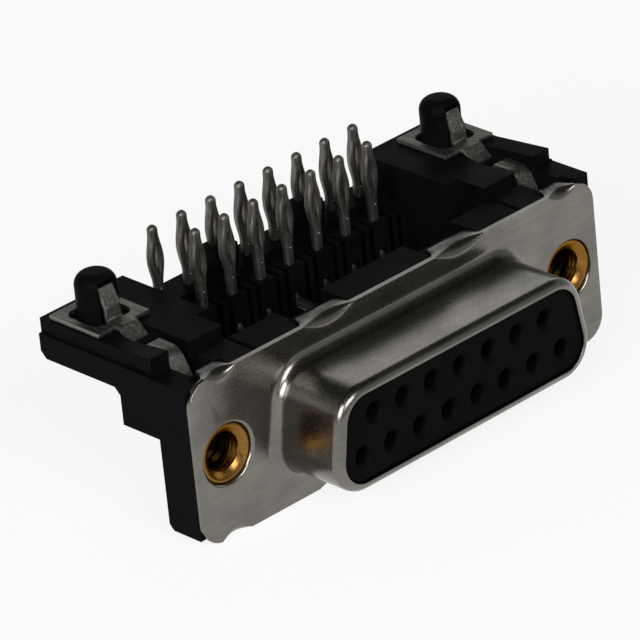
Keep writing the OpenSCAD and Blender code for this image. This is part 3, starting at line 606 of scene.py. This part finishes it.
def bevel_sheet_edges(bm, s):
    """Softens the sheared edges of the sheet, and leaves its bends and the tabs' notches alone."""
    deep = s.flange_h / 2 - tab_depth(s) - MM * 0.01
    spans = [(x, w / 2 + s.tab_fillet + MM * 0.01) for x, w in tab_places(s)]
    notched = {v for v in bm.verts if abs(v.co.z) > deep and any(abs(v.co.x - x) < half for x, half in spans)}
    sharp = [e for e in bm.edges if e.is_manifold and e.calc_face_angle(0) > math.radians(50)
             and not notched.issuperset(e.verts)]
    bmesh.ops.bevel(bm, geom=sharp, offset=s.edge_r, offset_type="OFFSET", segments=3, profile=0.5,
                    affect="EDGES", clamp_overlap=True, material=-1)


def tab_section(s, bend, end):
    """Points round a tab's section: its Y, and its Z from the flange's edge."""
    rear = min(s.edge_r, (end - s.sheet) / 2)
    inner = max(bend - s.sheet, s.edge_r / 3)
    return ([(0, -tab_depth(s))] + arc_points((bend, -bend), bend, 180, 90, 8)
            + arc_points((end - rear, -rear), rear, 90, 0, 2)
            + arc_points((end - rear, rear - s.sheet), rear, 0, -90, 2)
            + arc_points((s.sheet + inner, -s.sheet - inner), inner, 90, 180, 4) + [(s.sheet, -tab_depth(s))])


def fold_tab(bm, s, x, w, up):
    """One tab, whose bend and length run out at both ends into the flange's plain edge."""
    half, plain_end = w / 2, s.sheet * 1.2
    inside = [-half * math.cos(math.pi * i / 20) for i in range(21)]
    outside = [half + s.tab_fillet * i / 3 for i in (1, 2, 3)]
    loops = []
    for off in [-o for o in reversed(outside)] + inside + outside:
        swell = (1 - (abs(off) / (half + s.tab_fillet)) ** 2) ** 1.2
        run_out = min(1, max(0, (abs(off) - half + s.tab_fillet) / (2 * s.tab_fillet)))
        end = plain_end + (s.tab_end_y - plain_end) * (0.5 + 0.5 * math.cos(math.pi * run_out))
        section = tab_section(s, s.edge_r + (s.tab_bend_r - s.edge_r) * swell, end)
        loops.append(closed_chain(bm, [Vector((x + off, y, up * (s.flange_h / 2 + z))) for y, z in section]))
    for pair in zip(loops, loops[1:]):
        bmesh.ops.bridge_loops(bm, edges=[*pair[0], *pair[1]])
    for edges in (loops[0], loops[-1]):
        bmesh.ops.edgeloop_fill(bm, edges=edges)


def build_insert(bm, s, side, screw_x):
    """One insert: its outside, dished face, turned mouth, bore and the thread's ridge."""
    centre = X * screw_x * side
    back = s.front_y + s.length
    rim = arc_points((s.rim_r - s.rim_round, s.front_y + s.rim_round), s.rim_round, 0, -90, 5)
    flat_r, mouth_y = s.rim_r - s.rim_round, s.front_y + s.dish_depth
    dish = [(flat_r + (s.mouth_r - flat_r) * i / 6, s.front_y + s.dish_depth * (i / 6) ** 1.5)
            for i in range(1, 7)]
    mouth = [(s.mouth_r + (s.throat_r - s.mouth_r) * i / 6 + s.groove * (i % 2),
              mouth_y + s.mouth_depth * i / 6) for i in range(1, 7)]
    throat_y = mouth[-1][1]
    profile = ([(s.root_r, back), (s.outer_r - s.groove, back), (s.outer_r, back - s.groove),
                (s.outer_r, s.front_y + 2 * s.rim_round)] + rim + dish + mouth
               + [(s.throat_r, throat_y + s.groove), (s.root_r, throat_y + 2 * s.groove), (s.root_r, back)])
    edges = chain(bm, [centre + X * r + Y * y for r, y in profile])
    verts = list({v for e in edges for v in e.verts})
    bmesh.ops.spin(bm, geom=verts + edges, cent=centre, axis=Y, steps=64, angle=math.tau, use_merge=True)
    bmesh.ops.remove_doubles(bm, verts=bm.verts, dist=WELD)
    per_turn = 48
    turns = int((back - throat_y - s.pitch) / s.pitch)
    base = s.root_r * 1.02
    half_base = s.pitch * 0.44
    half_crest = s.pitch * 0.07
    y = throat_y + s.pitch * 0.75
    tooth = [(base, y - half_base), (s.crest_r, y - half_crest), (s.crest_r, y + half_crest),
             (base, y + half_base)]
    edges = closed_chain(bm, [centre + X * r + Y * a for r, a in tooth])
    bmesh.ops.edgeloop_fill(bm, edges=edges)
    verts = list({v for e in edges for v in e.verts})
    spun = bmesh.ops.spin(bm, geom=verts + edges, cent=centre, axis=Y, dvec=Y * s.pitch / per_turn,
                          steps=per_turn * turns, angle=math.tau * turns, use_merge=False)["geom_last"]
    bmesh.ops.edgeloop_fill(bm, edges=[g for g in spun if isinstance(g, bmesh.types.BMEdge)])


def tail_section(s, half_w, half_t, slot, dish):
    """Points round a tail's section: rounded corners, and dished faces with the slot's rims."""
    corner = min(s.corner, 0.98 * half_t)
    u, v = half_w - corner, half_t - corner
    face = [(0.6 * u, 0.45 * dish), (slot, dish), (-slot, dish), (-0.6 * u, 0.45 * dish)]
    return (arc_points((u, v), corner, 0, 90, 4) + [(x, half_t - deep) for x, deep in face]
            + arc_points((-u, v), corner, 90, 180, 4) + arc_points((-u, -v), corner, 180, 270, 4)
            + [(x, deep - half_t) for x, deep in reversed(face)] + arc_points((u, -v), corner, 270, 360, 4))


def tail_loops(bm, s, x, row_z, tail_y, tip_z):
    """The tail's sections in order: along the shank's axis, round the bend and up to the domed tip."""
    half_w, half_t, rim = s.width / 2, s.thickness / 2, s.slot_w / 8
    centre = Vector((x, tail_y - s.bend_r, row_z + s.bend_r))
    plain = tail_section(s, half_w, half_t, rim, 0)
    loops = [closed_chain(bm, [Vector((x + u, s.start_y, row_z + v)) for u, v in plain])]
    for i in range(9):
        turn = math.pi / 2 * i / 8
        inward = Vector((0, -math.sin(turn), math.cos(turn)))
        loops.append(closed_chain(bm, [centre + X * u + inward * (v - s.bend_r) for u, v in plain]))
    eye_z = tip_z - s.eye_below
    steps = 24
    for i in range(steps + 1):
        z = eye_z + (i / steps - 0.5) * s.eye_l
        swell = math.sin(math.pi * i / steps) ** 1.5
        inside = min(1, max(0, (z - eye_z) / s.slot_l + 0.5))
        open_share = math.sin(math.pi * inside)
        points = tail_section(s, half_w + (s.eye_w - s.width) / 2 * swell, half_t,
                              rim + (s.slot_w / 2 - rim) * open_share, s.dish * open_share)
        loops.append(closed_chain(bm, [Vector((x + u, tail_y - v, z)) for u, v in points]))
    for i in range(7):
        turn = math.radians(80) * i / 6
        z = tip_z - s.dome_h * (1 - math.sin(turn))
        points = tail_section(s, half_w * math.cos(turn), half_t * math.cos(turn), rim * math.cos(turn), 0)
        loops.append(closed_chain(bm, [Vector((x + u, tail_y - v, z)) for u, v in points]))
    return loops


def build_contact(bm, s, node):
    """One contact: the barrel and shank as they are, and a lofted tail with its slotted eye and boss."""
    low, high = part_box(node)
    x, row_z, tail_y = (low.x + high.x) / 2, low.z + s.shank_r, high.y - s.thickness / 2
    loops = tail_loops(bm, s, x, row_z, tail_y, high.z)
    for pair in zip(loops, loops[1:]):
        bmesh.ops.bridge_loops(bm, edges=[*pair[0], *pair[1]])
    eye_z = high.z - s.eye_below
    slot = [f for f in bm.faces if abs(f.calc_center_median().x - x) < MM * 0.001
            and abs(f.calc_center_median().z - eye_z) < s.slot_l / 2 and f.calc_center_median().y > s.start_y]
    bmesh.ops.delete(bm, geom=slot, context="FACES")
    ends = {*loops[0], *loops[-1]}
    bmesh.ops.bridge_loops(bm, edges=[e for e in bm.edges if e.is_boundary and e not in ends])
    for edges in (loops[0], loops[-1]):
        bmesh.ops.edgeloop_fill(bm, edges=edges)
    barrel = bmesh.new()
    barrel.from_mesh(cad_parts[node].data)
    bmesh.ops.remove_doubles(barrel, verts=barrel.verts, dist=NODE_WELD)
    bmesh.ops.bisect_plane(barrel, geom=[*barrel.verts, *barrel.edges, *barrel.faces], dist=PLANE_SLACK,
                           plane_co=Y * (s.start_y + MM * 0.05), plane_no=Y, clear_outer=True)
    bmesh.ops.edgeloop_fill(barrel, edges=[e for e in barrel.edges if e.is_boundary])
    spare = bpy.data.meshes.new("barrel")
    barrel.to_mesh(spare)
    barrel.free()
    bm.from_mesh(spare)
    bpy.data.meshes.remove(spare)
    boss = Vector((x, tail_y - s.thickness / 2, high.z - s.boss_below))
    bmesh.ops.create_icosphere(bm, subdivisions=2, radius=s.boss_r, matrix=Matrix.Translation(boss))


# Operators

class CONNECTOR_OT_shell(Operator):
    """Model the drawn shell: flange, D, rolled holes and folded tabs"""
    bl_idname = "connector.shell"
    bl_label = "Front shell"

    def execute(self, context):
        s = context.scene.shell_sizes
        bm = bmesh.new()
        build_flange(bm, s)
        drawn_d(bm, s)
        bmesh.ops.remove_doubles(bm, verts=bm.verts, dist=WELD)
        bmesh.ops.recalc_face_normals(bm, faces=bm.faces)
        bevel_sheet_edges(bm, s)
        for x, w in tab_places(s):
            for up in (-1, 1):
                fold_tab(bm, s, x, w, up)
        piece(bm, "drawn_shell", "shell_tin", "front_shell", smooth_angle=50)
        return {"FINISHED"}


class CONNECTOR_OT_plastics(Operator):
    """Round the edges of the black moulded pieces and finish them"""
    bl_idname = "connector.plastics"
    bl_label = "Moulded pieces"

    def execute(self, context):
        e = context.scene.edge_sizes
        for side, sign in SIDES.items():
            dressed_copy(f"bracket_{side}", f"moulded_bracket_{side}", "housing_black", e.housing, e.segments,
                         lambda bm, sign=sign: fit_bracket(bm, context.scene.fit_sizes, sign))
        for node in ("front_insulator", "rear_insulator", "tail_organiser"):
            dressed_copy(node, f"moulded_{node}", "insulator_black", e.insulator, e.segments)
        return {"FINISHED"}


class CONNECTOR_OT_metalwork(Operator):
    """Round the edges of the straps, loft the contacts' tails and finish them"""
    bl_idname = "connector.metalwork"
    bl_label = "Straps and contacts"

    def execute(self, context):
        for side in SIDES:
            dressed_copy(f"ground_strap_{side}", f"sprung_strap_{side}", "sprung_tin",
                         context.scene.edge_sizes.strap, 2,
                         lambda bm: fit_strap(bm, context.scene.fit_sizes))
        for node in CONTACTS:
            bm = bmesh.new()
            build_contact(bm, context.scene.tail_sizes, node)
            piece(bm, f"tinned_{node}", "tail_tin", node)
        return {"FINISHED"}


class CONNECTOR_OT_inserts(Operator):
    """Turn the two brass inserts with their threads"""
    bl_idname = "connector.inserts"
    bl_label = "Threaded inserts"

    def execute(self, context):
        for side, sign in SIDES.items():
            bm = bmesh.new()
            build_insert(bm, context.scene.insert_sizes, sign, context.scene.shell_sizes.screw_x)
            piece(bm, f"turned_insert_{side}", "turned_brass", f"threaded_insert_{side}", smooth_angle=30)
        return {"FINISHED"}


class CONNECTOR_OT_stage(Operator):
    """Set up the camera, floor, lamps and world"""
    bl_idname = "connector.stage"
    bl_label = "Stage"

    def execute(self, context):
        place_camera(context.scene.stage_sizes)
        lay_floor(context.scene.stage_sizes)
        hang_lamps()
        light_world(context.scene.stage_sizes)
        context.scene.view_settings.view_transform = "Standard"
        return {"FINISHED"}


# Stage

def camera_axes(s):
    """The camera's right, up and backward directions."""
    back = Vector((math.sin(s.azimuth) * math.cos(s.elevation), -math.cos(s.azimuth) * math.cos(s.elevation),
                   math.sin(s.elevation)))
    right = Vector((math.cos(s.azimuth), math.sin(s.azimuth), 0))
    up = back.cross(right)
    turn = Matrix.Rotation(s.roll, 3, back)
    return turn @ right, turn @ up, back


def place_camera(s):
    right, up, back = camera_axes(s)
    data = bpy.data.cameras.new("camera")
    data.sensor_width = 36
    data.lens = s.lens
    data.clip_start = 0.01
    data.clip_end = 20
    camera = bpy.data.objects.new("camera", data)
    bpy.context.scene.collection.objects.link(camera)
    turn = Matrix((right, up, back)).transposed().to_4x4()
    camera.matrix_world = Matrix.Translation(back * s.distance + right * s.aim_right + up * s.aim_up) @ turn
    bpy.context.scene.camera = camera


def lay_floor(s):
    bm = bmesh.new()
    bmesh.ops.create_grid(bm, x_segments=1, y_segments=1, size=s.floor_size / 2,
                          matrix=Matrix.Translation(Z * CAD_BOX[0].z))
    mesh = bpy.data.meshes.new("floor")
    bm.to_mesh(mesh)
    bm.free()
    floor = bpy.data.objects.new("floor", mesh)
    bpy.context.scene.collection.objects.link(floor)
    material = bpy.data.materials.new("pale_floor")
    material.use_nodes = True
    tree = material.node_tree
    shader = tree.nodes["Principled BSDF"]
    shader.inputs["Base Color"].default_value = (0.9, 0.9, 0.9, 1)
    shader.inputs["Roughness"].default_value = 0.9
    shader.inputs["Specular IOR Level"].default_value = 0.0
    path = tree.nodes.new("ShaderNodeLightPath")
    mirrored = add(tree, "ShaderNodeMath",
                   {0: path.outputs["Is Glossy Ray"], 1: path.outputs["Is Transmission Ray"]},
                   operation="MAXIMUM")
    seen = add(tree, "ShaderNodeMath", {0: path.outputs["Is Camera Ray"], 1: mirrored.outputs[0]},
               operation="MAXIMUM")
    glow = add(tree, "ShaderNodeEmission", Color=(1, 1, 1, 1))
    share = add(tree, "ShaderNodeMath", {0: seen.outputs[0]}, operation="MULTIPLY")
    share.inputs[1].default_value = FLOOR_GLOW
    mix = add(tree, "ShaderNodeMixShader", {0: share.outputs[0], 1: shader.outputs[0], 2: glow.outputs[0]})
    tree.links.new(mix.outputs[0], tree.nodes["Material Output"].inputs["Surface"])
    mesh.materials.append(material)


def hang_lamps():
    """Soft boxes: place of each in metres, its size and its power in watts; each looks at the connector."""
    lamps = {
        "back_box": ((0.4, 0.46, 0.32), (0.6, 0.4), 0.55),
        "left_box": ((-0.45, -0.2, 0.25), (0.3, 0.3), 2.4),
        "front_box": ((-0.1, -0.5, 0.35), (0.35, 0.2), 2.0),
    }
    for name, (place, size, power) in lamps.items():
        data = bpy.data.lights.new(name, "AREA")
        data.shape = "RECTANGLE"
        data.size, data.size_y = size
        data.energy = power
        lamp = bpy.data.objects.new(name, data)
        bpy.context.scene.collection.objects.link(lamp)
        turn = Vector(place).to_track_quat("Z", "Y").to_matrix().to_4x4()
        lamp.matrix_world = Matrix.Translation(place) @ turn


def light_world(s):
    world = bpy.data.worlds.new("studio")
    world.use_nodes = True
    tree = world.node_tree
    background = tree.nodes["Background"]
    background.inputs["Color"].default_value = (1, 1, 1, 1)
    outward = tree.nodes.new("ShaderNodeTexCoord").outputs["Generated"]
    heading = add(tree, "ShaderNodeSeparateXYZ", {0: outward})
    tree.links.new(ramp(tree, heading.outputs["Z"], 0.4, 0.7, s.world_level, s.ceiling_level),
                   background.inputs["Strength"])
    bpy.context.scene.world = world


class CONNECTOR_PT_panel(Panel):
    """Lists the connector's operators"""
    bl_label = "Connector"
    bl_space_type = "VIEW_3D"
    bl_region_type = "UI"
    bl_category = "Connector"

    def draw(self, context):
        for operator in OPERATORS:
            self.layout.operator(operator.bl_idname)


OPERATORS = [CONNECTOR_OT_stage, CONNECTOR_OT_shell, CONNECTOR_OT_plastics, CONNECTOR_OT_metalwork,
             CONNECTOR_OT_inserts]
CLASSES = [*PROPERTY_GROUPS.values(), *OPERATORS, CONNECTOR_PT_panel]


def register():
    for cls in CLASSES:
        bpy.utils.register_class(cls)
    for name, cls in PROPERTY_GROUPS.items():
        setattr(bpy.types.Scene, name, PointerProperty(type=cls))


def unregister():
    for name in PROPERTY_GROUPS:
        delattr(bpy.types.Scene, name)
    for cls in reversed(CLASSES):
        bpy.utils.unregister_class(cls)


def main():
    register()
    bpy.ops.connector.stage()
    bpy.ops.connector.shell()
    bpy.ops.connector.plastics()
    bpy.ops.connector.metalwork()
    bpy.ops.connector.inserts()


if __name__ == "__main__":
    main()
